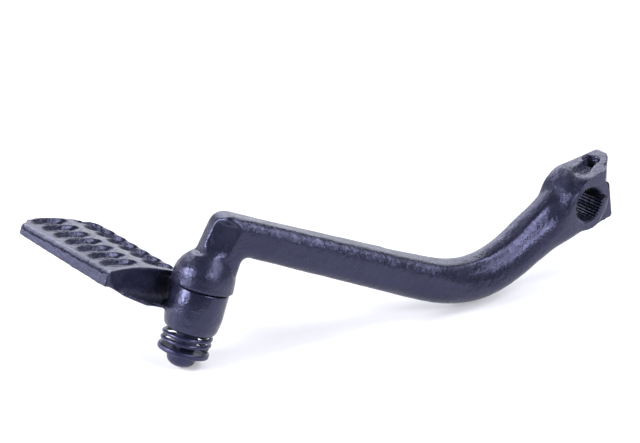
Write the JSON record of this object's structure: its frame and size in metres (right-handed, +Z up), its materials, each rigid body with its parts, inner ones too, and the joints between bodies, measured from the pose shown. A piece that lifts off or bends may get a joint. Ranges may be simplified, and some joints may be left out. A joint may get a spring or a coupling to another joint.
{
  "type": "kick start lever",
  "caption": "Cranked forged kick start lever with a serrated split clamp boss and a fold-out foot pedal on a peened pin.",
  "frame": {"origin": "on the axis of the spline bore, at the arm's mid-plane inside the clamp boss", "axes": "Y along the spline bore with the engine side at -Y, Z up as the lever lies in the picture, X to the right so that the arm runs towards -X"},
  "size_m": [0.2325, 0.112, 0.059],
  "materials": {
    "arm_paint": "semi-gloss black paint over a rough forging",
    "pedal_paint": "semi-gloss black paint over a rough forging",
    "pin_metal": "black paint, peened end",
    "spring_wire": "dark wire, semi-gloss",
    "washer_metal": "black paint, semi-gloss"
  },
  "bodies": {
    "arm": {"lever_arm": "arm_paint", "pivot_pin": "pin_metal", "pedal_spring": "spring_wire", "retaining_washer": "washer_metal"},
    "pedal": {"foot_pedal": "pedal_paint"}
  },
  "joints": [
    {"name": "pedal_fold", "type": "hinge", "parent": "arm", "child": "pedal", "pos_m": [-0.1736, 0.029, -0.01074], "axis": [-0.36, 0, -0.933], "range_deg": [0, 106]}
  ]
}
